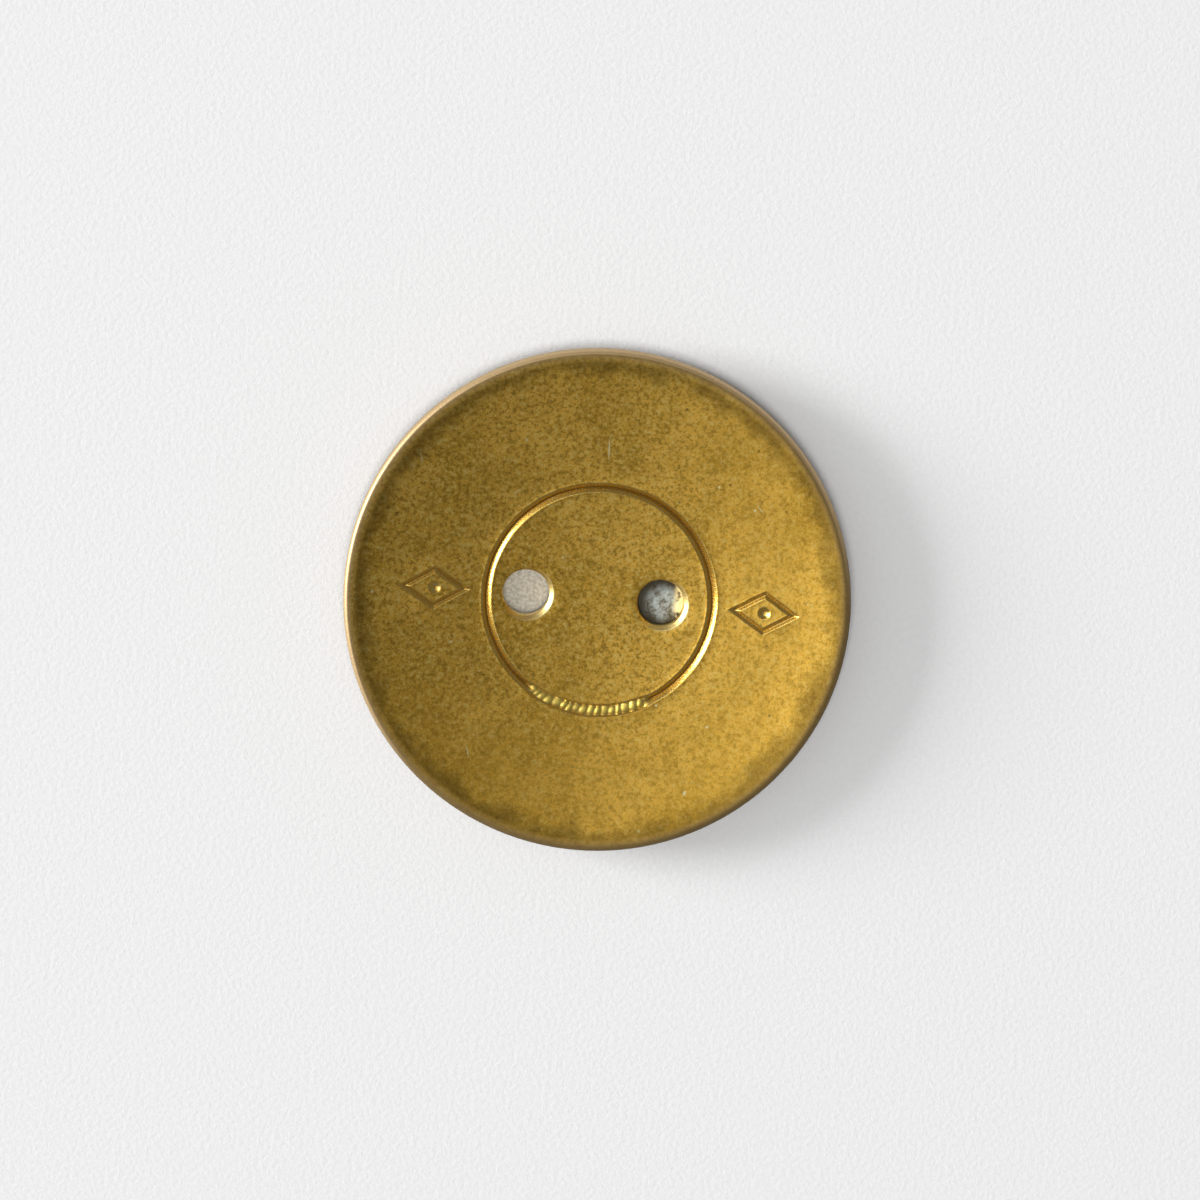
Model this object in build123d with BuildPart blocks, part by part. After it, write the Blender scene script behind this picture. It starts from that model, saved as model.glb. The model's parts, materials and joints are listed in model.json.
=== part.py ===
from build123d import *
import os
from math import asin, cos, degrees, radians, sin, sqrt

# A round two-hole metal sew-on button, 32 ligne, in millimetres. The origin is the
# centre of the back, where the button rests. +Z points out of the face, and the two
# sewing holes lie along X.

# Overall
OUTER_RADIUS = 10.15
FACE_HEIGHT = 1.10          # top of the face at its centre, above the resting plane
SHELL_THICKNESS = 0.22
PLATE_THICKNESS = 0.25

# Face: a shallow spherical dish that ends in a tightly rolled crest
DISH_RADIUS = 50.0
CREST_RADIUS = 0.26
CURL_RADIUS = 0.40
HEM_HEIGHT = 0.98           # underside of the hem, above the resting plane
HEM_INNER_RADIUS = 9.0

# Back plate: a flat centre, a sloping wall and a flange that the hem holds
REST_RADIUS = 4.45
PLATE_BEND_RADIUS = 6.0
PLATE_SLOPE = 22.0          # degrees
FLANGE_BEND_RADIUS = 1.2
PLATE_EDGE_RADIUS = 9.72

# Sewing holes, pierced a little to one side of the centre
HOLE_RADIUS = 0.94
HOLE_PITCH = 5.42
HOLE_SHIFT = -0.15
LIP_RADIUS = 0.19
COLLAR_WALL = 0.20
COLLAR_BOTTOM = 0.42        # the drawn-in collar ends above the back plate
COLLAR_ROOT_RADIUS = 0.10

# Card filler
FILLER_RADIUS = 7.6
FILLER_HOLE_RADIUS = 1.30

# Engraving: a ring round the holes, and a plain lozenge with a pip on each side
ENGRAVING_DEPTH = 0.13
ENGRAVING_SHIFT = 0.09
RING_RADIUS = 4.53
RING_WIDTH = 0.42
RING_FLOOR_WIDTH = 0.12
LOZENGE_CENTRE = 6.62
LOZENGE_LENGTH = 2.90
LOZENGE_HEIGHT = 1.80
LOZENGE_LINE = 0.26
PIP_RADIUS = 0.24
CUTTER_TOP = 3.0            # clear above the crest

# The dish's arc ends where the crest's arc is tangent to it.
DISH_ANGLE = degrees(asin((OUTER_RADIUS - CREST_RADIUS) / (DISH_RADIUS + CREST_RADIUS)))

# The plate's straight wall makes up the rise that its two bends leave.
bend_rise = (PLATE_BEND_RADIUS + FLANGE_BEND_RADIUS) * (1 - cos(radians(PLATE_SLOPE)))
WALL_LENGTH = (HEM_HEIGHT + SHELL_THICKNESS - bend_rise) / sin(radians(PLATE_SLOPE))

DISH_CENTRE = (0, FACE_HEIGHT + DISH_RADIUS)
hole_centres = [(HOLE_SHIFT + side * HOLE_PITCH / 2, 0) for side in (-1, 1)]
lozenge_centres = [(ENGRAVING_SHIFT + side * LOZENGE_CENTRE, 0) for side in (-1, 1)]


def dish_arc(depth, radius):
    """The dish's section at a depth under its surface, from the axis out to a radius."""
    sphere = DISH_RADIUS + depth
    return CenterArc(DISH_CENTRE, sphere, -90, degrees(asin(radius / sphere)))


# Lozenges and pips, kept to a layer that follows the dish at a constant depth
with BuildPart() as ornament_cutter:
    with BuildSketch() as ornament:
        with Locations(*lozenge_centres):
            Polygon(
                (LOZENGE_LENGTH / 2, 0),
                (0, LOZENGE_HEIGHT / 2),
                (-LOZENGE_LENGTH / 2, 0),
                (0, -LOZENGE_HEIGHT / 2),
            )
        offset(amount=-LOZENGE_LINE, kind=Kind.INTERSECTION, mode=Mode.SUBTRACT)
        with Locations(*lozenge_centres):
            Circle(PIP_RADIUS)
    extrude(amount=CUTTER_TOP)
    with BuildSketch(Plane.XZ) as engraved_layer:
        with BuildLine():
            layer_floor = dish_arc(ENGRAVING_DEPTH, OUTER_RADIUS)
            Polyline(
                layer_floor @ 1, (OUTER_RADIUS, CUTTER_TOP), (0, CUTTER_TOP), layer_floor @ 0
            )
        make_face()
    revolve(axis=Axis.Z, mode=Mode.INTERSECT)

# Ring groove with sloping walls, struck a little off the button's axis
ring_height = DISH_CENTRE[1] - sqrt(DISH_RADIUS**2 - RING_RADIUS**2)
ring_axis = Axis((ENGRAVING_SHIFT, 0, 0), (0, 0, 1))
with BuildPart() as ring_cutter:
    with BuildSketch(Plane.XZ) as ring_section:
        with Locations((ENGRAVING_SHIFT + RING_RADIUS, ring_height)):
            Polygon(
                (-RING_WIDTH / 2, 0),
                (-RING_FLOOR_WIDTH / 2, -ENGRAVING_DEPTH),
                (RING_FLOOR_WIDTH / 2, -ENGRAVING_DEPTH),
                (RING_WIDTH / 2, 0),
                (RING_WIDTH / 2, ENGRAVING_DEPTH),
                (-RING_WIDTH / 2, ENGRAVING_DEPTH),
                align=None,
            )
    revolve(axis=ring_axis)

# Face shell: one brass sheet from the dish over the crest and down to the hem
with BuildPart() as face_shell:
    with BuildSketch(Plane.XZ) as sheet:
        with BuildLine() as outer_surface:
            dish = JernArc((0, FACE_HEIGHT), (1, 0), DISH_RADIUS, DISH_ANGLE)
            crest = JernArc(dish @ 1, dish % 1, CREST_RADIUS, -DISH_ANGLE - 90)
            skirt = Line(crest @ 1, (OUTER_RADIUS, HEM_HEIGHT + CURL_RADIUS))
            curl = JernArc(skirt @ 1, skirt % 1, CURL_RADIUS, -90)
            Line(curl @ 1, (HEM_INNER_RADIUS, HEM_HEIGHT))
            offset(amount=SHELL_THICKNESS, side=Side.RIGHT)
        make_face()
    revolve(axis=Axis.Z)
    with BuildSketch(Plane.XY.offset(COLLAR_BOTTOM)) as collars:
        with Locations(*hole_centres):
            Circle(HOLE_RADIUS + COLLAR_WALL)
    extrude(amount=FACE_HEIGHT - COLLAR_BOTTOM)
    fillet(face_shell.edges(Select.NEW).sort_by(Axis.Z)[-2:], COLLAR_ROOT_RADIUS)
    with Locations(*hole_centres):
        Hole(HOLE_RADIUS)
    fillet(face_shell.edges(Select.LAST).sort_by(Axis.Z)[-2:], LIP_RADIUS)
    add(ring_cutter.part, mode=Mode.SUBTRACT)
    add(ornament_cutter.part, mode=Mode.SUBTRACT)

# Back plate: one tinned steel sheet, its edge trapped on the hem
with BuildPart() as back_plate:
    with BuildSketch(Plane.XZ) as plate_sheet:
        with BuildLine() as plate_underside:
            base = Line((0, 0), (REST_RADIUS, 0))
            bend = JernArc(base @ 1, base % 1, PLATE_BEND_RADIUS, PLATE_SLOPE)
            wall = Line(bend @ 1, bend @ 1 + (bend % 1) * WALL_LENGTH)
            shoulder = JernArc(wall @ 1, wall % 1, FLANGE_BEND_RADIUS, -PLATE_SLOPE)
            Line(shoulder @ 1, (PLATE_EDGE_RADIUS, HEM_HEIGHT + SHELL_THICKNESS))
            offset(amount=PLATE_THICKNESS, side=Side.LEFT)
        make_face()
    revolve(axis=Axis.Z)
    with Locations(*hole_centres):
        Hole(HOLE_RADIUS)

# Card filler: pressed between the two sheets and touching both
with BuildPart() as filler_disc:
    with BuildSketch(Plane.XZ) as card:
        with BuildLine():
            top = dish_arc(SHELL_THICKNESS, FILLER_RADIUS)
            flat = Line((0, PLATE_THICKNESS), (REST_RADIUS, PLATE_THICKNESS))
            foot = JernArc(flat @ 1, flat % 1, PLATE_BEND_RADIUS - PLATE_THICKNESS, PLATE_SLOPE)
            reach = (FILLER_RADIUS - (foot @ 1).X) / (foot % 1).X
            slope = Line(foot @ 1, foot @ 1 + (foot % 1) * reach)
            Line(slope @ 1, top @ 1)
            Line(top @ 0, flat @ 0)
        make_face()
    revolve(axis=Axis.Z)
    with Locations(*hole_centres):
        Hole(FILLER_HOLE_RADIUS)

os.makedirs("parts", exist_ok=True)
face_shell.part.label = "face_shell"
back_plate.part.label = "back_plate"
filler_disc.part.label = "filler_disc"
export_step(face_shell.part, "parts/face_shell.step")
export_step(back_plate.part, "parts/back_plate.step")
export_step(filler_disc.part, "parts/filler_disc.step")
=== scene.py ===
import json
import math
import random

import bpy
from mathutils import Matrix, Vector, noise
from mathutils.geometry import delaunay_2d_cdt


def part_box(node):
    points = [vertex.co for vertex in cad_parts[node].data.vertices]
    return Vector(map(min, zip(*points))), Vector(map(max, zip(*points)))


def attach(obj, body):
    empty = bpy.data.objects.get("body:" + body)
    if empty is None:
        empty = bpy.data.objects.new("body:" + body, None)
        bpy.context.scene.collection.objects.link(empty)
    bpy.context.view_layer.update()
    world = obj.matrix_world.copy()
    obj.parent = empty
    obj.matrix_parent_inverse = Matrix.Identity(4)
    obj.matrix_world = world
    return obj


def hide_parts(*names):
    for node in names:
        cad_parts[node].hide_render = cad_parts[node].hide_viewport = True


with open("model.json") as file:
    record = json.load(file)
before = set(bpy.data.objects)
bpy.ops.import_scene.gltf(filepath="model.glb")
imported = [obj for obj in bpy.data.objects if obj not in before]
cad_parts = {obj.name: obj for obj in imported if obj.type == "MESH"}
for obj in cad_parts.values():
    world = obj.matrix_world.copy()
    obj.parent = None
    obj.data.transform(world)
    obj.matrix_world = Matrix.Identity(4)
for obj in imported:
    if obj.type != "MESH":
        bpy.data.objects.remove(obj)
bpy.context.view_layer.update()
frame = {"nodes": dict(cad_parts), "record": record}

# A dished brass sew-on button lying face up. All lengths here are in millimetres, and
# are turned into metres when a mesh or a shader is made.
MM = 0.001

# ---------------------------------------------------------------- shapes from the frame
shell_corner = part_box("face_shell")[1] / MM
OUTER_RADIUS = shell_corner.x
CREST_HEIGHT = shell_corner.z
PLATE_EDGE = (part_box("back_plate")[1] / MM).x
bores = [m for m in frame["record"]["mounts"] if m["kind"] == "bore"]
HOLES = sorted((m["pos_m"][0] / MM, m["pos_m"][1] / MM) for m in bores)
HOLE_RADIUS = bores[0]["dims"]["r_mm"]

# The button's own dimensions, as the model has them
SHEET = 0.22
PLATE = 0.25
DISH_RADIUS = 50.0
CREST_RADIUS = 0.26
CURL_RADIUS = 0.40
HEM_HEIGHT = 0.98
HEM_INNER = 9.0
LIP_WIDTH = 0.12
LIP_DEPTH = 0.14
LIP_SHIFT = (0.072, -0.042)  # the drawn lips lie off their holes, towards the right
LIT_SIDE = math.radians(-30)  # the side of each lip painted bright as a highlight, where it faces the light
COLLAR_WALL = 0.20
COLLAR_BOTTOM = 0.42
REST_RADIUS = 4.45
PLATE_BEND = 6.0
PLATE_SLOPE = math.radians(22)
FLANGE_BEND = 1.2

# The dish's arc ends where the crest's arc is tangent to it.
CREST_CENTRE = OUTER_RADIUS - CREST_RADIUS
DISH_ANGLE = math.asin(CREST_CENTRE / (DISH_RADIUS + CREST_RADIUS))
DISH_TOP = CREST_HEIGHT - CREST_RADIUS + (DISH_RADIUS + CREST_RADIUS) * math.cos(DISH_ANGLE)

HOLE_OFFSET = (HOLES[1][0] - HOLES[0][0]) / 2
DIMPLES = [(x + LIP_SHIFT[0], y + LIP_SHIFT[1]) for x, y in HOLES]

# Engraving
ENGRAVING_SHIFT = 0.09
RING_RADIUS = 4.53
RING_HALF_WIDTH = 0.19
RING_DEPTH = 0.14
LOZENGE_CENTRE = 6.62
LOZENGE_LENGTH = 2.90
LOZENGE_HEIGHT = 1.80
LINE_HALF_WIDTH = 0.13
LINE_DEPTH = 0.10
PIP_RADIUS = 0.24
PANEL_SWELL = 0.02  # the metal raised outside the ring, at its highest
CHATTER_CENTRE = math.radians(-92)
CHATTER_SPREAD = math.radians(35)
CHATTER_DEPTH = 0.11


def smooth(low, high, value):
    """0 below low, 1 above high, and a smooth step between."""
    t = min(1.0, max(0.0, (value - low) / (high - low)))
    return t * t * (3 - 2 * t)


def wander(x, y, scale, seed):
    """Smooth noise from -1 to 1 over the face, with features about scale across."""
    return noise.noise(Vector((x / scale, y / scale, seed)))


def face_profile(radius, depth=0.0):
    """Height of the face at a radius, or of the surface at a depth under it."""
    sphere = DISH_RADIUS + depth
    if radius < sphere * math.sin(DISH_ANGLE):
        return DISH_TOP - math.sqrt(sphere**2 - radius**2)
    reach = min(0.0, radius - CREST_CENTRE)
    bead = CREST_RADIUS - depth
    return CREST_HEIGHT - CREST_RADIUS + math.sqrt(max(0.0, bead**2 - reach**2))


# ---------------------------------------------------------------- engraving
lozenge_points = [
    (LOZENGE_LENGTH / 2, 0.0),
    (0.0, LOZENGE_HEIGHT / 2),
    (-LOZENGE_LENGTH / 2, 0.0),
    (0.0, -LOZENGE_HEIGHT / 2),
]
lozenge_centres = [(ENGRAVING_SHIFT + side * LOZENGE_CENTRE, 0.0) for side in (-1, 1)]
slant = math.hypot(LOZENGE_LENGTH, LOZENGE_HEIGHT)


def lozenge_distance(x, y):
    """Signed distance outside the lozenge's outer edge, by its four straight sides."""
    return (
        abs(x) * LOZENGE_HEIGHT + abs(y) * LOZENGE_LENGTH - LOZENGE_LENGTH * LOZENGE_HEIGHT / 2
    ) / slant


def vee(distance, half_width):
    """Section of a cut line: 1 at its rounded floor, 0 at its edges, steepest inside."""
    t = math.sqrt((distance / half_width) ** 2 + 0.01)
    return max(0.0, 1 - t) * (1 - 0.45 * t) / 0.86


def burr(distance, half_width):
    """The metal pushed up beside a cut line, as a share of its height."""
    return math.exp(-(((abs(distance) - half_width * 1.12) / (half_width * 0.28)) ** 2))


def chatter_beads():
    """(place along the ring, place across it, half length, half width, height) of each bead."""
    draw = random.Random(7)
    place = (CHATTER_CENTRE - CHATTER_SPREAD) * RING_RADIUS
    row = []
    while place < (CHATTER_CENTRE + CHATTER_SPREAD) * RING_RADIUS:
        half_length = draw.uniform(0.10, 0.19)
        place += half_length
        across = draw.uniform(-0.035, 0.035)
        row.append(
            (place, across, half_length * 1.35, draw.uniform(0.17, 0.23), draw.uniform(0.7, 1.1))
        )
        place += half_length
    return row


BEADS = chatter_beads()


def chatter(along, across):
    """Height of the merged beads that the skipping tool raised in the cut."""
    height = 0.45 * math.sqrt(max(0.0, 1 - (across / 0.20) ** 2))
    for place, middle, half_length, half_width, top in BEADS:
        away = ((along - place) / half_length) ** 2 + ((across - middle) / half_width) ** 2
        if away < 1:
            height = max(height, top * math.sqrt(1 - away))
    return height


def engraving(x, y):
    """(depth, bareness, soil) at a point of the face. Soil below zero is burnished metal."""
    ring_x, ring_y = x - ENGRAVING_SHIFT, y
    angle = math.atan2(ring_y, ring_x)
    along = angle * RING_RADIUS
    wobble = 0.018 * wander(x, y, 1.3, 3.0)
    distance = math.hypot(ring_x, ring_y) - RING_RADIUS - wobble
    ridge = chatter(along + 0.25 * distance, distance)
    off_centre = abs(angle - CHATTER_CENTRE)
    skip = 1 - smooth(CHATTER_SPREAD - 0.14, CHATTER_SPREAD, off_centre)
    half_width = RING_HALF_WIDTH * (1 + 0.07 * wander(x, y, 0.7, 5.0) + 0.30 * skip)
    depth = RING_DEPTH * (1 + 0.10 * wander(x, y, 0.9, 7.0)) * vee(distance, half_width)
    trough = 1 - smooth(half_width * 0.72, half_width, abs(distance))
    depth += skip * (CHATTER_DEPTH * trough * (1 - 0.95 * ridge) - depth)
    soil = (1 - skip) * (1 - smooth(half_width * 0.10, half_width * 0.45, abs(distance)))
    soil -= skip * min(1.0, ridge) * trough
    lift = 0.012 * burr(distance, half_width)
    bare = 1 - smooth(half_width * 0.95, half_width * 1.2, abs(distance))
    for centre_x, centre_y in lozenge_centres:
        own_x, own_y = x - centre_x, y - centre_y
        if abs(own_x) > LOZENGE_LENGTH or abs(own_y) > LOZENGE_HEIGHT:
            continue
        wobble = 0.012 * wander(x, y, 0.6, 13.0)
        from_line = lozenge_distance(own_x, own_y) + LINE_HALF_WIDTH + wobble
        half_width = LINE_HALF_WIDTH * (1 + 0.10 * wander(x, y, 0.4, 17.0))
        depth = max(depth, LINE_DEPTH * vee(from_line, half_width))
        lift += 0.008 * burr(from_line, half_width)
        bare = max(bare, 1 - smooth(half_width * 0.95, half_width * 1.25, abs(from_line)))
        clear = smooth(half_width * 0.10, half_width * 0.45, abs(from_line))
        soil = max(soil, 0.4 - 0.4 * clear)
        pip = math.hypot(own_x, own_y) / PIP_RADIUS
        if pip < 1.6:
            depth = max(depth, LINE_DEPTH * max(0.0, 1 - pip * pip))
            lift += 0.008 * math.exp(-(((pip - 1.1) / 0.2) ** 2))
            bare = max(bare, 1 - smooth(0.95, 1.2, pip))
    return depth - lift, bare, soil


def face_height(x, y):
    """Height of the finished face, with its slight hand-pressed unevenness."""
    radius = math.hypot(x, y)
    calm = 1 - smooth(8.8, 9.7, radius)
    uneven = 0.012 * wander(x, y, 5.0, 1.0) + 0.0030 * wander(x, y, 1.4, 2.0)
    uneven += PANEL_SWELL * math.exp(-(((radius - 6.3) / 1.3) ** 2))
    draw = 0.0
    for dimple in DIMPLES:
        gap = math.dist((x, y), dimple) - HOLE_RADIUS - LIP_WIDTH
        draw += 0.02 * math.exp(-((max(0.0, gap) / 0.16) ** 2))
    return face_profile(radius) + uneven * calm - draw - engraving(x, y)[0]


# ---------------------------------------------------------------- mesh making
def circle(centre, radius, count):
    """Points of a circle in the XY plane, counter-clockwise from +X."""
    turn = 2 * math.pi / count
    return [
        (centre[0] + radius * math.cos(i * turn), centre[1] + radius * math.sin(i * turn))
        for i in range(count)
    ]


def arc(centre, radius, start, end, steps):
    """Points of a section's arc, start left out, as (radius, height)."""
    angles = (start + (end - start) * (i + 1) / steps for i in range(steps))
    return [
        (centre[0] + radius * math.cos(a), centre[1] + radius * math.sin(a)) for a in angles
    ]


def line(start, end, steps):
    """Points of a section's straight run, start left out."""
    return [
        tuple(a + (b - a) * (i + 1) / steps for a, b in zip(start, end)) for i in range(steps)
    ]


class Shape:
    """A closed mesh built from loops of points, bands between them and flat-mapped caps."""

    def __init__(self):
        self.points = []
        self.faces = []

    def loop(self, flat, height):
        """Adds a loop of (x, y) points at the heights of height(x, y)."""
        first = len(self.points)
        self.points += [(x, y, height(x, y)) for x, y in flat]
        return list(range(first, len(self.points)))

    def band(self, one, two):
        """Joins two loops of equal length with quads."""
        count = len(one)
        for i in range(count):
            j = (i + 1) % count
            self.faces.append((one[i], two[i], two[j], one[j]))

    def rows(self, start, centre, section, count):
        """Bands from a loop along a section turned about a centre. Returns the last loop."""
        for radius, level in section:
            following = self.loop(circle(centre, radius, count), lambda x, y: level)
            self.band(start, following)
            start = following
        return start

    def cap(self, outer, holes, inside, height, up=True):
        """Fills between an outer loop and hole loops, through the points inside."""
        given = outer + [i for hole in holes for i in hole]
        first = len(self.points)
        self.points += [(x, y, height(x, y)) for x, y in inside]
        given += range(first, len(self.points))
        flat = [Vector(self.points[i][:2]) for i in given]
        edges, start = [], 0
        for loop in [outer] + holes:
            size = len(loop)
            edges += [(start + i, start + (i + 1) % size) for i in range(size)]
            start += size
        limits = [[self.points[i][:2] for i in hole] for hole in holes]
        circles = []
        for ring in limits:
            middle = [sum(c) / len(ring) for c in zip(*ring)]
            circles.append((middle, min(math.dist(middle, p) for p in ring)))
        verts, _, faces, sources, _, _ = delaunay_2d_cdt(flat, edges, [], 0, 1e-6)
        index = []
        for vert, source in zip(verts, sources):
            if source:
                index.append(given[source[0]])
            else:
                index.append(len(self.points))
                self.points.append((vert.x, vert.y, height(vert.x, vert.y)))
        for face in faces:
            middle = [sum(verts[i][axis] for i in face) / len(face) for axis in (0, 1)]
            if any(math.dist(middle, c) < r * 0.999 for c, r in circles):
                continue
            corners = [index[i] for i in face]
            self.faces.append(tuple(corners if up else reversed(corners)))

    def object(self, name, material):
        """The finished Blender object, in metres and smooth shaded."""
        mesh = bpy.data.meshes.new(name)
        mesh.from_pydata([[c * MM for c in p] for p in self.points], [], self.faces)
        mesh.validate()
        mesh.polygons.foreach_set("use_smooth", [True] * len(mesh.polygons))
        mesh.materials.append(material)
        piece = bpy.data.objects.new(name, mesh)
        bpy.context.scene.collection.objects.link(piece)
        return piece


def hex_grid(radius, spacing, keep):
    """Evenly spread points inside a radius, where keep(x, y) is true."""
    points = []
    row_step = spacing * math.sqrt(3) / 2
    rows = int(radius / row_step)
    for row in range(-rows, rows + 1):
        y = row * row_step
        shift = spacing / 2 if row % 2 else 0.0
        columns = int(radius / spacing) + 1
        for column in range(-columns, columns + 1):
            x = column * spacing + shift
            if math.hypot(x, y) < radius and keep(x, y):
                points.append((x, y))
    return points


# ---------------------------------------------------------------- node helpers
class Nodes:
    """Short calls for building one material's node tree."""

    def __init__(self, name):
        self.material = bpy.data.materials.new(name)
        self.material.use_nodes = True
        self.tree = self.material.node_tree
        self.shader = self.tree.nodes["Principled BSDF"]
        self.place = self.tree.nodes.new("ShaderNodeTexCoord").outputs["Object"]

    def link(self, value, socket):
        """Sets a socket to a number or colour, or links another socket to it."""
        if isinstance(value, bpy.types.NodeSocket):
            self.tree.links.new(value, socket)
        else:
            socket.default_value = value

    def noise(self, size_mm, detail=2.0, roughness=0.5, stretch=None):
        """Noise with features of a size in millimetres. Averages 0.5."""
        node = self.tree.nodes.new("ShaderNodeTexNoise")
        node.inputs["Scale"].default_value = 1 / (size_mm * MM)
        node.inputs["Detail"].default_value = detail
        node.inputs["Roughness"].default_value = roughness
        place = self.place
        if stretch:
            mapping = self.tree.nodes.new("ShaderNodeMapping")
            mapping.inputs["Rotation"].default_value = (0, 0, stretch[0])
            mapping.inputs["Scale"].default_value = (1, 1 / stretch[1], 1)
            self.link(place, mapping.inputs["Vector"])
            place = mapping.outputs["Vector"]
        self.link(place, node.inputs["Vector"])
        return node.outputs["Fac"]

    def math(self, operation, *values):
        node = self.tree.nodes.new("ShaderNodeMath")
        node.operation = operation
        for value, socket in zip(values, node.inputs):
            self.link(value, socket)
        return node.outputs[0]

    def remap(self, value, low, high, to_low=0.0, to_high=1.0):
        """A smooth step of value from low..high to to_low..to_high."""
        node = self.tree.nodes.new("ShaderNodeMapRange")
        node.interpolation_type = "SMOOTHSTEP"
        for number, socket in zip((value, low, high, to_low, to_high), node.inputs):
            self.link(number, socket)
        return node.outputs["Result"]

    def mix(self, share, one, two):
        """A colour between two, by a share from 0 to 1."""
        node = self.tree.nodes.new("ShaderNodeMix")
        node.data_type = "RGBA"
        self.link(share, node.inputs["Factor"])
        for value, socket in ((one, node.inputs[6]), (two, node.inputs[7])):
            self.link((*value, 1) if isinstance(value, tuple) else value, socket)
        return node.outputs[2]

    def radius_mm(self, centre=(0.0, 0.0)):
        """Distance from an upright axis, in millimetres."""
        flat = self.tree.nodes.new("ShaderNodeVectorMath")
        flat.operation = "MULTIPLY"
        flat.inputs[1].default_value = (1 / MM, 1 / MM, 0)
        self.link(self.place, flat.inputs[0])
        away = self.tree.nodes.new("ShaderNodeVectorMath")
        away.operation = "SUBTRACT"
        away.inputs[1].default_value = (*centre, 0)
        self.link(flat.outputs[0], away.inputs[0])
        return self.length(away.outputs[0])

    def length(self, vector):
        node = self.tree.nodes.new("ShaderNodeVectorMath")
        node.operation = "LENGTH"
        self.link(vector, node.inputs[0])
        return node.outputs["Value"]

    def scratch(self, place, angle, length_mm, width_mm):
        """A tapered mark on the face: its middle in millimetres and its angle in degrees."""
        node = self.tree.nodes.new("ShaderNodeMapping")
        node.vector_type = "TEXTURE"
        node.inputs["Location"].default_value = (place[0] * MM, place[1] * MM, 0)
        node.inputs["Rotation"].default_value = (0, 0, math.radians(angle))
        node.inputs["Scale"].default_value = (length_mm * MM / 2, width_mm * MM / 2, 1)
        self.link(self.place, node.inputs["Vector"])
        return self.remap(self.length(node.outputs["Vector"]), 0.35, 1.0, 1.0, 0.0)

    def height_mm(self):
        """Height above the resting plane, in millimetres."""
        split = self.tree.nodes.new("ShaderNodeSeparateXYZ")
        self.link(self.place, split.inputs[0])
        return self.math("MULTIPLY", split.outputs["Z"], 1 / MM)

    def specks(self, spacing_mm, share):
        """Scattered round dots, in a share of the cells of a spacing."""
        node = self.tree.nodes.new("ShaderNodeTexVoronoi")
        node.inputs["Scale"].default_value = 1 / (spacing_mm * MM)
        self.link(self.place, node.inputs["Vector"])
        split = self.tree.nodes.new("ShaderNodeSeparateColor")
        self.link(node.outputs["Color"], split.inputs[0])
        chosen = self.remap(split.outputs[0], 1 - share, 1 - share * 0.8)
        dot = self.remap(node.outputs["Distance"], 0.12, 0.26, 1.0, 0.0)
        return self.math("MULTIPLY", chosen, dot)

    def attribute(self, name):
        node = self.tree.nodes.new("ShaderNodeAttribute")
        node.attribute_name = name
        return node.outputs["Fac"]

    def bump(self, height, distance_mm, strength=1.0):
        node = self.tree.nodes.new("ShaderNodeBump")
        node.inputs["Strength"].default_value = strength
        node.inputs["Distance"].default_value = distance_mm * MM
        self.link(height, node.inputs["Height"])
        self.link(node.outputs["Normal"], self.shader.inputs["Normal"])

    def finish(self, colour, roughness, metallic=0.0):
        self.link(colour, self.shader.inputs["Base Color"])
        self.link(roughness, self.shader.inputs["Roughness"])
        self.link(metallic, self.shader.inputs["Metallic"])
        return self.material


# Single marks on the face: (middle in millimetres, angle in degrees, length, width)
SCRATCHES = (
    ((0.0, 6.1), 93, 1.15, 0.09),
    ((-7.45, 5.3), 105, 0.75, 0.06),
    ((-3.55, 4.1), 40, 0.50, 0.05),
    ((-4.7, -6.5), -75, 0.65, 0.06),
    ((4.1, -7.5), 75, 0.30, 0.16),
    ((6.2, 4.2), 130, 0.55, 0.05),
)


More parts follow.
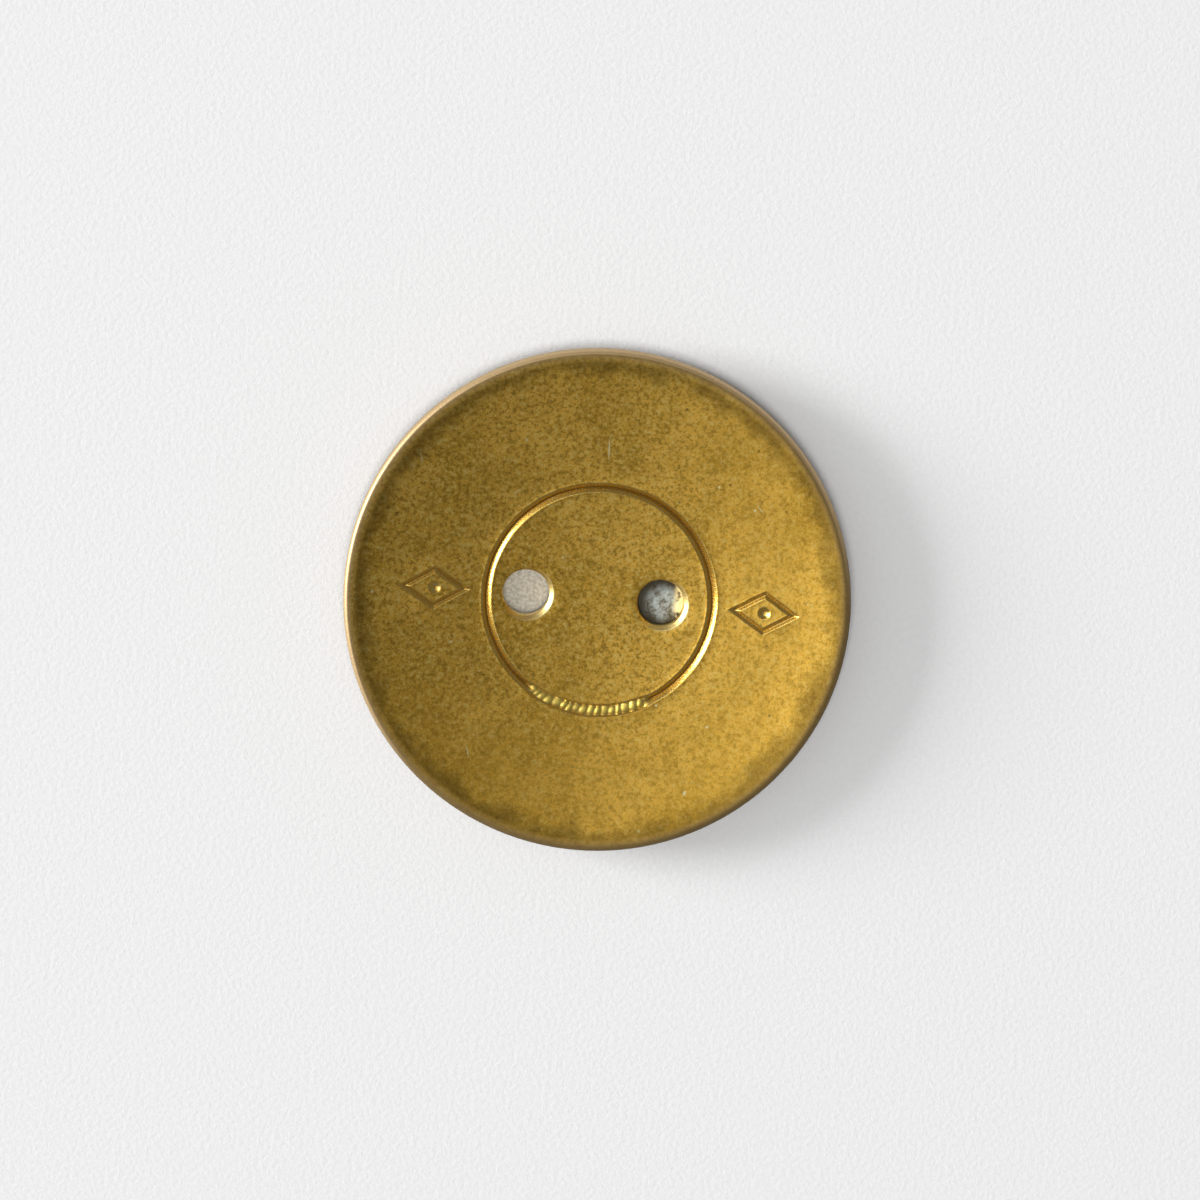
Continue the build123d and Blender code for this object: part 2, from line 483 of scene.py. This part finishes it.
def antique_brass():
    """Satin olive-brown brass: fine grain, grime inside the rim, bare metal where cut."""
    n = Nodes("antique_brass")
    grain = n.noise(0.085, 3.0, 0.62)
    patch = n.noise(0.36, 3.0, 0.6)
    mottle = n.noise(0.9, 4.0, 0.6)
    cloud_and_painted_light = n.noise(2.8, 3.0, 0.5)
    # Painted light: the patina is made lighter towards the upper right and darker towards the
    # lower left, as the light falls on the dish.
    split = n.tree.nodes.new("ShaderNodeSeparateXYZ")
    n.link(n.place, split.inputs[0])
    painted_light_slope = n.math("ADD", split.outputs["X"], split.outputs["Y"])
    cloud_and_painted_light = n.math("ADD", cloud_and_painted_light, n.remap(painted_light_slope, -0.009, 0.009, -0.045, 0.055))
    grit = n.remap(split.outputs["Y"], -0.008, -0.002, 0.6, 1.0)
    grit = n.math("MULTIPLY", grit, n.remap(split.outputs["X"], 0.001, 0.007, 1.0, 0.62))
    light_grit = n.math("MULTIPLY", grit, 0.45)
    patina = n.mix(n.remap(cloud_and_painted_light, 0.36, 0.62), (0.78, 0.460, 0.058), (1.0, 0.605, 0.094))
    patina = n.mix(n.remap(mottle, 0.35, 0.68, 0.0, 0.35), patina, (0.58, 0.355, 0.050))
    fleck = n.noise(0.17, 3.0, 0.6)
    patina = n.mix(n.remap(patch, 0.36, 0.50, 0.28, 0.0), patina, (0.44, 0.255, 0.034))
    patina = n.mix(n.remap(patch, 0.52, 0.66, 0.0, 0.25), patina, (1.0, 0.70, 0.14))
    for field, share, dark, light in (
        (fleck, grit, (0.34, 0.195, 0.026), (1.0, 0.80, 0.26)),
        (grain, light_grit, (0.32, 0.185, 0.026), (1.0, 0.82, 0.30)),
    ):
        low = n.math("MULTIPLY", share, n.remap(field, 0.36, 0.51, 0.66, 0.0))
        high = n.math("MULTIPLY", share, n.remap(field, 0.52, 0.67, 0.0, 0.60))
        patina = n.mix(high, n.mix(low, patina, dark), light)
    patina = n.mix(n.specks(0.30, 0.015), patina, (1.0, 0.86, 0.42))
    patina = n.mix(n.math("MULTIPLY", n.specks(0.33, 0.06), 0.6), patina, (0.20, 0.11, 0.03))
    for place, angle, length, width in SCRATCHES:
        patina = n.mix(
            n.math("MULTIPLY", n.scratch(place, angle, length, width), 0.9),
            patina,
            (1.0, 0.90, 0.50),
        )
    # The face darkens in a patchy band inside the crest. Painted shade: the crest's top and inner
    # flank are painted dark and dull, hiding the highlight they would catch.
    ragged = n.remap(n.noise(1.3, 5.0, 0.62), 0.28, 0.72, -0.34, 0.34)
    radius = n.math("ADD", n.radius_mm(), ragged)
    patina = n.mix(n.remap(radius, 8.85, 9.80, 0.0, 0.62), patina, (0.16, 0.097, 0.018))
    painted_crest_shade = n.remap(n.radius_mm(), 9.60, 10.0, 0.0, 0.85)
    painted_crest_shade = n.math("MULTIPLY", painted_crest_shade, n.remap(n.height_mm(), 1.60, 1.85))
    patina = n.mix(painted_crest_shade, patina, (0.070, 0.045, 0.017))
    # Rim wear and a painted highlight: the crest's outer flank is paled, most towards the upper
    # left where the light falls.
    rim_wear_and_painted_highlight = n.remap(n.radius_mm(), 9.96, 10.06)
    rim_wear_and_painted_highlight = n.math("MULTIPLY", rim_wear_and_painted_highlight, n.remap(n.height_mm(), 1.55, 2.0, 0.2, 0.85))
    highlight_side = n.math("MULTIPLY_ADD", split.outputs["X"], -0.5, split.outputs["Y"])
    rim_wear_and_painted_highlight = n.math("MULTIPLY", rim_wear_and_painted_highlight, n.remap(highlight_side, -0.005, 0.002))
    patina = n.mix(rim_wear_and_painted_highlight, patina, (0.68, 0.48, 0.25))
    bare = n.attribute("bare")
    fresh = n.mix(n.remap(grain, 0.35, 0.65), (0.92, 0.52, 0.065), (1.0, 0.74, 0.24))
    soil = n.math("MULTIPLY", n.attribute("soil"), 0.75)
    fresh = n.mix(soil, fresh, (0.30, 0.130, 0.008))
    burnish = n.remap(n.attribute("soil"), -0.8, -0.1, 1.0, 0.0)
    fresh = n.mix(burnish, fresh, (1.0, 0.76, 0.17))
    lips = burnish
    # Painted highlight: the lips take a pale cream, shown where they are marked bare on the side
    # facing the light.
    for dimple in DIMPLES:
        lip_glint = n.remap(n.radius_mm(dimple), HOLE_RADIUS + 0.10, HOLE_RADIUS + 0.20, 0.75, 0.0)
        fresh = n.mix(lip_glint, fresh, (1.0, 0.82, 0.36))
        lips = n.math("MAXIMUM", lips, lip_glint)
    colour = n.mix(bare, patina, fresh)
    rough = n.remap(grain, 0.30, 0.70, 0.54, 0.44)
    rough = n.math("ADD", rough, n.math("MULTIPLY", painted_crest_shade, 0.2))
    rough = n.math("SUBTRACT", rough, n.math("MULTIPLY", n.math("MAXIMUM", bare, rim_wear_and_painted_highlight), 0.22))
    rough = n.math("ADD", rough, n.math("MULTIPLY", n.math("MULTIPLY", lips, bare), 0.20))
    n.bump(grain, 0.012, 0.8)
    # Painted shade: where the crest is painted dark it is also made less metallic.
    painted_crest_shade_share = n.math("MULTIPLY", painted_crest_shade, n.math("SUBTRACT", 1.0, rim_wear_and_painted_highlight))
    return n.finish(colour, rough, n.math("SUBTRACT", 1.0, n.math("MULTIPLY", painted_crest_shade_share, 1.1)))


def tinned_steel():
    """Dull grey tin plate, mottled, with brown tarnish spots."""
    n = Nodes("tinned_steel")
    grain = n.noise(0.12, 3.0, 0.6)
    mottle = n.noise(0.7, 4.0, 0.6)
    spots = n.remap(n.noise(1.1, 5.0, 0.65), 0.60, 0.70)
    tin = n.mix(n.remap(mottle, 0.35, 0.65), (0.34, 0.35, 0.34), (0.60, 0.61, 0.59))
    tin = n.mix(n.remap(grain, 0.35, 0.65, 0.0, 0.3), tin, (0.24, 0.24, 0.23))
    colour = n.mix(n.math("MULTIPLY", spots, 0.6), tin, (0.20, 0.12, 0.07))
    rough = n.remap(mottle, 0.35, 0.65, 0.55, 0.36)
    n.bump(grain, 0.008, 0.8)
    metallic = n.math("SUBTRACT", 1.0, n.math("MULTIPLY", spots, 0.6))
    return n.finish(colour, rough, metallic)


def pressed_card():
    """Grey-brown pulp board with short fibres."""
    n = Nodes("pressed_card")
    fibre = n.noise(0.12, 3.0, 0.6, (0.4, 5.0))
    pulp = n.noise(0.6, 4.0, 0.6)
    colour = n.mix(n.remap(pulp, 0.35, 0.65), (0.22, 0.165, 0.11), (0.36, 0.29, 0.20))
    colour = n.mix(n.remap(fibre, 0.45, 0.65, 0.0, 0.5), colour, (0.48, 0.41, 0.30))
    n.bump(fibre, 0.02, 0.8)
    return n.finish(colour, 0.92)


def polish_residue():
    """Dried grey polish, blue-grey where thick and brown in its pits, with painted shadow at its
    edge and a painted warm reflection at one side.
    """
    n = Nodes("polish_residue")
    lumps = n.noise(0.40, 3.0, 0.6)
    grit = n.noise(0.09, 3.0, 0.7)
    colour = n.mix(n.remap(lumps, 0.36, 0.60), (0.085, 0.072, 0.042), (0.31, 0.345, 0.31))
    colour = n.mix(n.remap(grit, 0.40, 0.65, 0.0, 0.35), colour, (0.62, 0.63, 0.60))
    # Painted shadow: darker towards its edge, most at the left and top, where the hole's wall
    # shades it.
    edge = n.remap(n.radius_mm((HOLES[1][0] + 0.10, -0.05)), 0.38, 0.88, 0.0, 0.92)
    colour = n.mix(edge, colour, (0.045, 0.037, 0.022))
    split = n.tree.nodes.new("ShaderNodeSeparateXYZ")
    n.link(n.place, split.inputs[0])
    # Painted reflection: a pale warm patch at the right side, standing for the brass wall's
    # reflection.
    painted_reflection_side = n.remap(split.outputs["X"], (HOLES[1][0] + 0.42) * MM, (HOLES[1][0] + 0.72) * MM)
    painted_warm_reflection = n.math("MULTIPLY", painted_reflection_side, n.remap(lumps, 0.42, 0.56))
    colour = n.mix(painted_warm_reflection, colour, (0.80, 0.70, 0.42))
    n.bump(grit, 0.02, 0.8)
    return n.finish(colour, 0.62)


def pale_floor():
    """Matt near-white paper with a fine leathery tooth, painted darker and warmer under the
    button as its shade and the light bounced off the brass.
    """
    n = Nodes("pale_floor")
    tooth = n.noise(0.20, 4.0, 0.6)
    plain = n.mix(n.remap(tooth, 0.3, 0.7), (0.565, 0.565, 0.565), (0.585, 0.585, 0.585))
    # Painted shade: under the button the paper is darker and warmer, for its shade and the light
    # bounced off the brass, with a mottle that shows through the holes.
    shade_mottle = n.noise(0.13, 3.0, 0.6)
    soiled = n.mix(n.remap(shade_mottle, 0.38, 0.62), (0.38, 0.350, 0.290), (0.55, 0.515, 0.435))
    colour = n.mix(n.remap(n.radius_mm(), 7.5, 9.0), soiled, plain)
    n.bump(tooth, 0.030, 0.8)
    return n.finish(colour, 0.9)


# ---------------------------------------------------------------- face shell
RIM_STEPS = 400
LIP_STEPS = 112
RING_STEPS = 720


def face_points():
    """Points of the face inside its crest, close together where there is detail."""
    points = []
    ring_centre = (ENGRAVING_SHIFT, 0.0)
    for across in (-1.55, -1.35, -1.2, -1.05, -0.88, -0.66, -0.44, -0.22, 0.0):
        offset = across * RING_HALF_WIDTH
        points += circle(ring_centre, RING_RADIUS + offset, RING_STEPS)
        if offset:
            points += circle(ring_centre, RING_RADIUS - offset, RING_STEPS)
    for centre_x, centre_y in lozenge_centres:
        for across in (-1.6, -1.3, -1.1, -0.85, -0.6, -0.3, 0.0, 0.3, 0.6, 0.85, 1.1, 1.3, 1.6):
            inset = LINE_HALF_WIDTH * (1 - across)
            scale = 1 - inset * slant / (LOZENGE_LENGTH * LOZENGE_HEIGHT / 2)
            for i, corner in enumerate(lozenge_points):
                following = lozenge_points[(i + 1) % 4]
                points += [
                    (centre_x + x * scale, centre_y + y * scale)
                    for x, y in line(corner, following, 40)
                ]
        for share in (0.25, 0.5, 0.75, 0.95, 1.1, 1.3, 1.5):
            points += circle((centre_x, centre_y), PIP_RADIUS * share, 28)
        points.append((centre_x, centre_y))
    for dimple in DIMPLES:
        for gap in (0.05, 0.11, 0.19, 0.30, 0.45):
            points += circle(dimple, HOLE_RADIUS + LIP_WIDTH + gap, LIP_STEPS)
    for gap in (0.05, 0.10, 0.16, 0.24, 0.34):
        points += circle((0, 0), CREST_CENTRE - gap, RIM_STEPS)

    def plain(x, y):
        near_ring = abs(math.hypot(x - ENGRAVING_SHIFT, y) - RING_RADIUS) < 0.42
        near_hole = any(math.dist((x, y), d) < HOLE_RADIUS + LIP_WIDTH + 0.5 for d in DIMPLES)
        near_line = any(
            abs(lozenge_distance(x - cx, y - cy) + LINE_HALF_WIDTH) < 0.32
            or math.hypot(x - cx, y - cy) < 0.42
            for cx, cy in lozenge_centres
        )
        return not (near_ring or near_hole or near_line)

    return points + hex_grid(CREST_CENTRE - 0.44, 0.20, plain)


def make_face_shell():
    """The brass sheet: engraved dish, crest, skirt, hem and drawn hole lips, all closed."""
    shape = Shape()
    skirt_foot = HEM_HEIGHT + CURL_RADIUS
    bead_height = CREST_HEIGHT - CREST_RADIUS
    curl_centre = (OUTER_RADIUS - CURL_RADIUS, skirt_foot)
    inner = OUTER_RADIUS - SHEET
    hem_round = 0.08
    hem_top = HEM_HEIGHT + SHEET
    section = arc((CREST_CENTRE, bead_height), CREST_RADIUS, math.pi / 2, 0, 10)
    section += line((OUTER_RADIUS, bead_height), (OUTER_RADIUS, skirt_foot), 6)
    section += arc(curl_centre, CURL_RADIUS, 0, -math.pi / 2, 8)
    section += line((curl_centre[0], HEM_HEIGHT), (HEM_INNER + hem_round, HEM_HEIGHT), 4)
    low_corner = (HEM_INNER + hem_round, HEM_HEIGHT + hem_round)
    high_corner = (HEM_INNER + hem_round, hem_top - hem_round)
    section += arc(low_corner, hem_round, -math.pi / 2, -math.pi, 4)
    section += arc(high_corner, hem_round, math.pi, math.pi / 2, 4)
    section += line((HEM_INNER + hem_round, hem_top), (curl_centre[0], hem_top), 3)
    section += arc(curl_centre, CURL_RADIUS - SHEET, -math.pi / 2, 0, 4)
    section += line((inner, skirt_foot), (inner, bead_height), 3)
    section += arc((CREST_CENTRE, bead_height), CREST_RADIUS - SHEET, 0, math.pi / 2, 4)

    rim = shape.loop(circle((0, 0), CREST_CENTRE, RIM_STEPS), lambda x, y: CREST_HEIGHT)
    inner_rim = shape.rows(rim, (0, 0), section, RIM_STEPS)
    mouths, roots = [], []
    for hole, dimple in zip(HOLES, DIMPLES):
        mouth = shape.loop(circle(dimple, HOLE_RADIUS + LIP_WIDTH, LIP_STEPS), face_height)
        mouths.append(mouth)
        last = mouth
        for i in range(1, 11):
            share = i / 10
            left = 1 - share
            drop = LIP_DEPTH * (share**2 / 0.6 if share < 0.3 else share - 0.15) / 0.85
            centre = (hole[0] + LIP_SHIFT[0] * left, hole[1] + LIP_SHIFT[1] * left)
            flat = circle(centre, HOLE_RADIUS + LIP_WIDTH * left, LIP_STEPS)
            following = shape.loop(flat, lambda x, y: 0.0)
            for own, top in zip(following, mouth):
                x, y, _ = shape.points[own]
                shape.points[own] = (x, y, shape.points[top][2] - drop)
            shape.band(following, last)
            last = following
        collar = HOLE_RADIUS + COLLAR_WALL
        root_radius = 0.10
        root_height = face_profile(HOLE_OFFSET, SHEET)
        walls = line((HOLE_RADIUS, 0.9), (HOLE_RADIUS, COLLAR_BOTTOM + 0.05), 3)
        walls += arc((HOLE_RADIUS + 0.05, COLLAR_BOTTOM + 0.05), 0.05, math.pi, 1.5 * math.pi, 3)
        walls += arc((collar - 0.05, COLLAR_BOTTOM + 0.05), 0.05, 1.5 * math.pi, 2 * math.pi, 3)
        walls += line((collar, COLLAR_BOTTOM + 0.05), (collar, root_height - root_radius), 2)
        for radius, level in walls:
            following = shape.loop(circle(hole, radius, LIP_STEPS), lambda x, y: level)
            shape.band(following, last)
            last = following
        root = shape.loop(
            circle(hole, collar + root_radius, LIP_STEPS),
            lambda x, y: face_profile(math.hypot(x, y), SHEET),
        )
        shape.band(root, last)
        roots.append(root)
    shape.cap(rim, mouths, face_points(), face_height)

    under = []
    for gap in (0.15, 0.35, 0.70):
        under += circle((0, 0), CREST_CENTRE - gap, RIM_STEPS)
    clear = HOLE_RADIUS + COLLAR_WALL + 0.3
    under += hex_grid(
        CREST_CENTRE - 1.0, 0.45, lambda x, y: all(math.dist((x, y), h) > clear for h in HOLES)
    )
    shape.cap(
        inner_rim, roots, under, lambda x, y: face_profile(math.hypot(x, y), SHEET), up=False
    )
    piece = shape.object("brass_face", antique_brass())
    bare = piece.data.attributes.new("bare", "FLOAT", "POINT")
    soil = piece.data.attributes.new("soil", "FLOAT", "POINT")
    mouth_radius = HOLE_RADIUS + LIP_WIDTH
    values, soiled = [], []
    for x, y, z in shape.points:
        on_face = z > face_profile(math.hypot(x, y)) - SHEET * 0.8
        cut, dirt = engraving(x, y)[1:] if on_face and math.hypot(x, y) < 9.0 else (0.0, 0.0)
        # Painted highlight: the side of each lip that faces the light is marked bare, so it takes
        # the bright fresh colour.
        lip = 0.0
        for dimple in DIMPLES:
            near = 1 - smooth(mouth_radius - 0.02, mouth_radius + 0.05, math.dist((x, y), dimple))
            facing = math.cos(math.atan2(y - dimple[1], x - dimple[0]) - LIT_SIDE)
            lip = max(lip, near * smooth(-0.35, 0.25, facing))
        values.append(max(cut, 0.95 * lip))
        soiled.append(dirt)
    bare.data.foreach_set("value", values)
    soil.data.foreach_set("value", soiled)
    return piece


# ---------------------------------------------------------------- back plate
def make_back_plate():
    """The steel sheet: flat centre, sloping wall and the flange inside the hem."""
    shape = Shape()
    steps = 240
    bend_rise = (PLATE_BEND + FLANGE_BEND) * (1 - math.cos(PLATE_SLOPE))
    wall = (HEM_HEIGHT + SHEET - bend_rise) / math.sin(PLATE_SLOPE)
    quarter = math.pi / 2
    wall_start = (
        REST_RADIUS + PLATE_BEND * math.sin(PLATE_SLOPE),
        PLATE_BEND * (1 - math.cos(PLATE_SLOPE)),
    )
    wall_end = (
        wall_start[0] + wall * math.cos(PLATE_SLOPE),
        wall_start[1] + wall * math.sin(PLATE_SLOPE),
    )
    shoulder = (
        wall_end[0] + FLANGE_BEND * math.sin(PLATE_SLOPE),
        wall_end[1] - FLANGE_BEND * math.cos(PLATE_SLOPE),
    )
    flange = HEM_HEIGHT + SHEET

    def run(offset):
        bend_centre = (REST_RADIUS, PLATE_BEND)
        points = arc(bend_centre, PLATE_BEND - offset, -quarter, PLATE_SLOPE - quarter, 12)
        reach = FLANGE_BEND + offset
        points += arc(shoulder, reach, quarter + PLATE_SLOPE, quarter, 6)
        return points

    out = [(REST_RADIUS, 0.0)] + run(0.0)
    back = [(REST_RADIUS, PLATE)] + run(PLATE)
    first = shape.loop(circle((0, 0), REST_RADIUS, steps), lambda x, y: 0.0)
    section = out[1:] + [(PLATE_EDGE, flange), (PLATE_EDGE, flange + PLATE)] + back[::-1]
    last = shape.rows(first, (0, 0), section, steps)
    low_loops, high_loops = [], []
    burr_round = 0.04
    for hole in HOLES:
        low = shape.loop(circle(hole, HOLE_RADIUS + burr_round, LIP_STEPS), lambda x, y: 0.0)
        low_loops.append(low)
        walls = arc((HOLE_RADIUS + burr_round, burr_round), burr_round, -quarter, -math.pi, 3)
        walls += line((HOLE_RADIUS, burr_round), (HOLE_RADIUS, PLATE - burr_round), 2)
        upper_corner = (HOLE_RADIUS + burr_round, PLATE - burr_round)
        walls += arc(upper_corner, burr_round, math.pi, quarter, 3)
        upper = low
        for radius, level in walls:
            following = shape.loop(circle(hole, radius, LIP_STEPS), lambda x, y: level)
            shape.band(upper, following)
            upper = following
        high_loops.append(upper)
    clear = HOLE_RADIUS + 0.2
    inside = hex_grid(
        REST_RADIUS - 0.1, 0.3, lambda x, y: all(math.dist((x, y), h) > clear for h in HOLES)
    )
    shape.cap(first, low_loops, inside, lambda x, y: 0.0, up=False)
    shape.cap(last, high_loops, inside, lambda x, y: PLATE)
    return shape.object("steel_back", tinned_steel())


# ---------------------------------------------------------------- residue in one hole
def make_residue():
    """Dried polish in the right-hand hole: a lumpy dome that sinks towards one side."""
    shape = Shape()
    centre_x, centre_y = HOLES[1]
    count = 120
    open_side = math.radians(155)

    def reach(angle):
        ragged = abs(wander(math.cos(angle), math.sin(angle), 0.35, 23.0))
        return HOLE_RADIUS - 0.006 - 0.01 * ragged

    def top(x, y):
        out = math.hypot(x - centre_x + 0.06, y - centre_y + 0.03) / HOLE_RADIUS
        lumps = 0.055 * wander(x, y, 0.32, 29.0) + 0.02 * wander(x, y, 0.11, 31.0)
        angle = math.atan2(y - centre_y, x - centre_x)
        low = smooth(-0.2, 0.8, math.cos(angle - open_side)) * min(1.0, out) ** 2
        return 0.70 - 0.22 * min(1.0, out) ** 2.5 - 0.16 * low + lumps * (1 - 0.6 * low)

    def bottom(x, y):
        return 0.20 + 0.03 * wander(x, y, 0.3, 37.0)

    turns = [2 * math.pi * i / count for i in range(count)]
    edge = [
        (centre_x + reach(a) * math.cos(a), centre_y + reach(a) * math.sin(a)) for a in turns
    ]
    upper, lower = shape.loop(edge, top), shape.loop(edge, bottom)
    shape.band(upper, lower)

    def solid(x, y):
        angle = math.atan2(y - centre_y, x - centre_x)
        return math.hypot(x - centre_x, y - centre_y) < reach(angle) - 0.04

    inside = [(x + centre_x, y + centre_y) for x, y in hex_grid(0.9, 0.04, lambda x, y: True)]
    inside = [p for p in inside if solid(*p)]
    shape.cap(upper, [], inside, top)
    shape.cap(lower, [], inside, bottom, up=False)
    return shape.object("polish_residue", polish_residue())


brass_face = make_face_shell()
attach(brass_face, "root")
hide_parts("face_shell")

steel_back = make_back_plate()
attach(steel_back, "root")
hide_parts("back_plate")

residue = make_residue()
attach(residue, "root")

card = frame["nodes"]["filler_disc"]
card.data.materials.clear()
card.data.materials.append(pressed_card())

# ---------------------------------------------------------------- floor, light, camera
floor_size = 3.0
floor_mesh = bpy.data.meshes.new("floor")
half = floor_size / 2
floor_mesh.from_pydata(
    [(-half, -half, 0), (half, -half, 0), (half, half, 0), (-half, half, 0)], [], [(0, 1, 2, 3)]
)
floor_mesh.materials.append(pale_floor())
floor = bpy.data.objects.new("floor", floor_mesh)
bpy.context.scene.collection.objects.link(floor)

# The photograph's right and up directions over the button: it lies turned a few degrees.
ROLL = math.radians(4.55)
TILT = math.radians(9.0)
LAMP_DISTANCE = 1.5
WINDOW_POWER = 31.0
SKY_POWER = 6.0
OVERHEAD_POWER = 15.5
ROOM_FILL = 0.20
ROOM_IN_METAL = 0.15
right = Vector((math.cos(ROLL), math.sin(ROLL), 0))
up = Vector((-math.sin(ROLL), math.cos(ROLL), 0))
world_up = Vector((0, 0, 1))


def aim(thing, place, target, top):
    """Puts a lamp or camera at a place, looking at a target with top upwards."""
    back = (place - target).normalized()
    side = top.cross(back).normalized()
    turn = Matrix((side, back.cross(side), back)).transposed()
    thing.matrix_world = Matrix.Translation(place) @ turn.to_4x4()


def soft_lamp(name, azimuth, elevation, size, power):
    """A square lamp over the button; azimuth is counter-clockwise from the right."""
    lamp = bpy.data.lights.new(name, "AREA")
    lamp.shape = "SQUARE"
    lamp.size = size
    lamp.energy = power
    piece = bpy.data.objects.new(name, lamp)
    bpy.context.scene.collection.objects.link(piece)
    a, e = math.radians(azimuth), math.radians(elevation)
    level = right * math.cos(a) + up * math.sin(a)
    place = (level * math.cos(e) + world_up * math.sin(e)) * LAMP_DISTANCE
    aim(piece, place, Vector((0, 0, 0)), world_up)
    return piece


# A low window throws the long shadow, and a taller, dimmer panel above it softens it.
soft_lamp("window", 168, 20, 0.60, WINDOW_POWER)
soft_lamp("sky", 165, 52, 1.50, SKY_POWER)
overhead = soft_lamp("overhead", 165, 89, 0.40, OVERHEAD_POWER)
overhead.visible_glossy = False

# The room fills the shadow, but its dark walls hardly show in the metal.
world = bpy.data.worlds.new("studio")
bpy.context.scene.world = world
world.use_nodes = True
background = world.node_tree.nodes["Background"]
path = world.node_tree.nodes.new("ShaderNodeLightPath")
level = world.node_tree.nodes.new("ShaderNodeMapRange")
level.inputs["To Min"].default_value = ROOM_FILL
level.inputs["To Max"].default_value = ROOM_IN_METAL
world.node_tree.links.new(path.outputs["Is Glossy Ray"], level.inputs["Value"])
world.node_tree.links.new(level.outputs["Result"], background.inputs["Strength"])
background.inputs["Color"].default_value = (1.0, 1.0, 1.0, 1)
bpy.context.scene.view_settings.view_transform = "Standard"

CAMERA_DISTANCE = 0.35
FRAME_WIDTH = 0.04800
AIM_HEIGHT = 0.0017
AIM_RIGHT = 0.000115
AIM_UP = 0.000030
SENSOR_WIDTH = 36.0
camera_data = bpy.data.cameras.new("camera")
camera_data.sensor_width = SENSOR_WIDTH
camera_data.lens = SENSOR_WIDTH * CAMERA_DISTANCE / FRAME_WIDTH
camera_data.clip_start = 0.01
camera_data.clip_end = 5.0
camera = bpy.data.objects.new("camera", camera_data)
bpy.context.scene.collection.objects.link(camera)
toward_camera = up * math.sin(TILT) + world_up * math.cos(TILT)
target = Vector((0, 0, AIM_HEIGHT)) + right * AIM_RIGHT + up * AIM_UP
aim(camera, target + toward_camera * CAMERA_DISTANCE, target, up)
bpy.context.scene.camera = camera
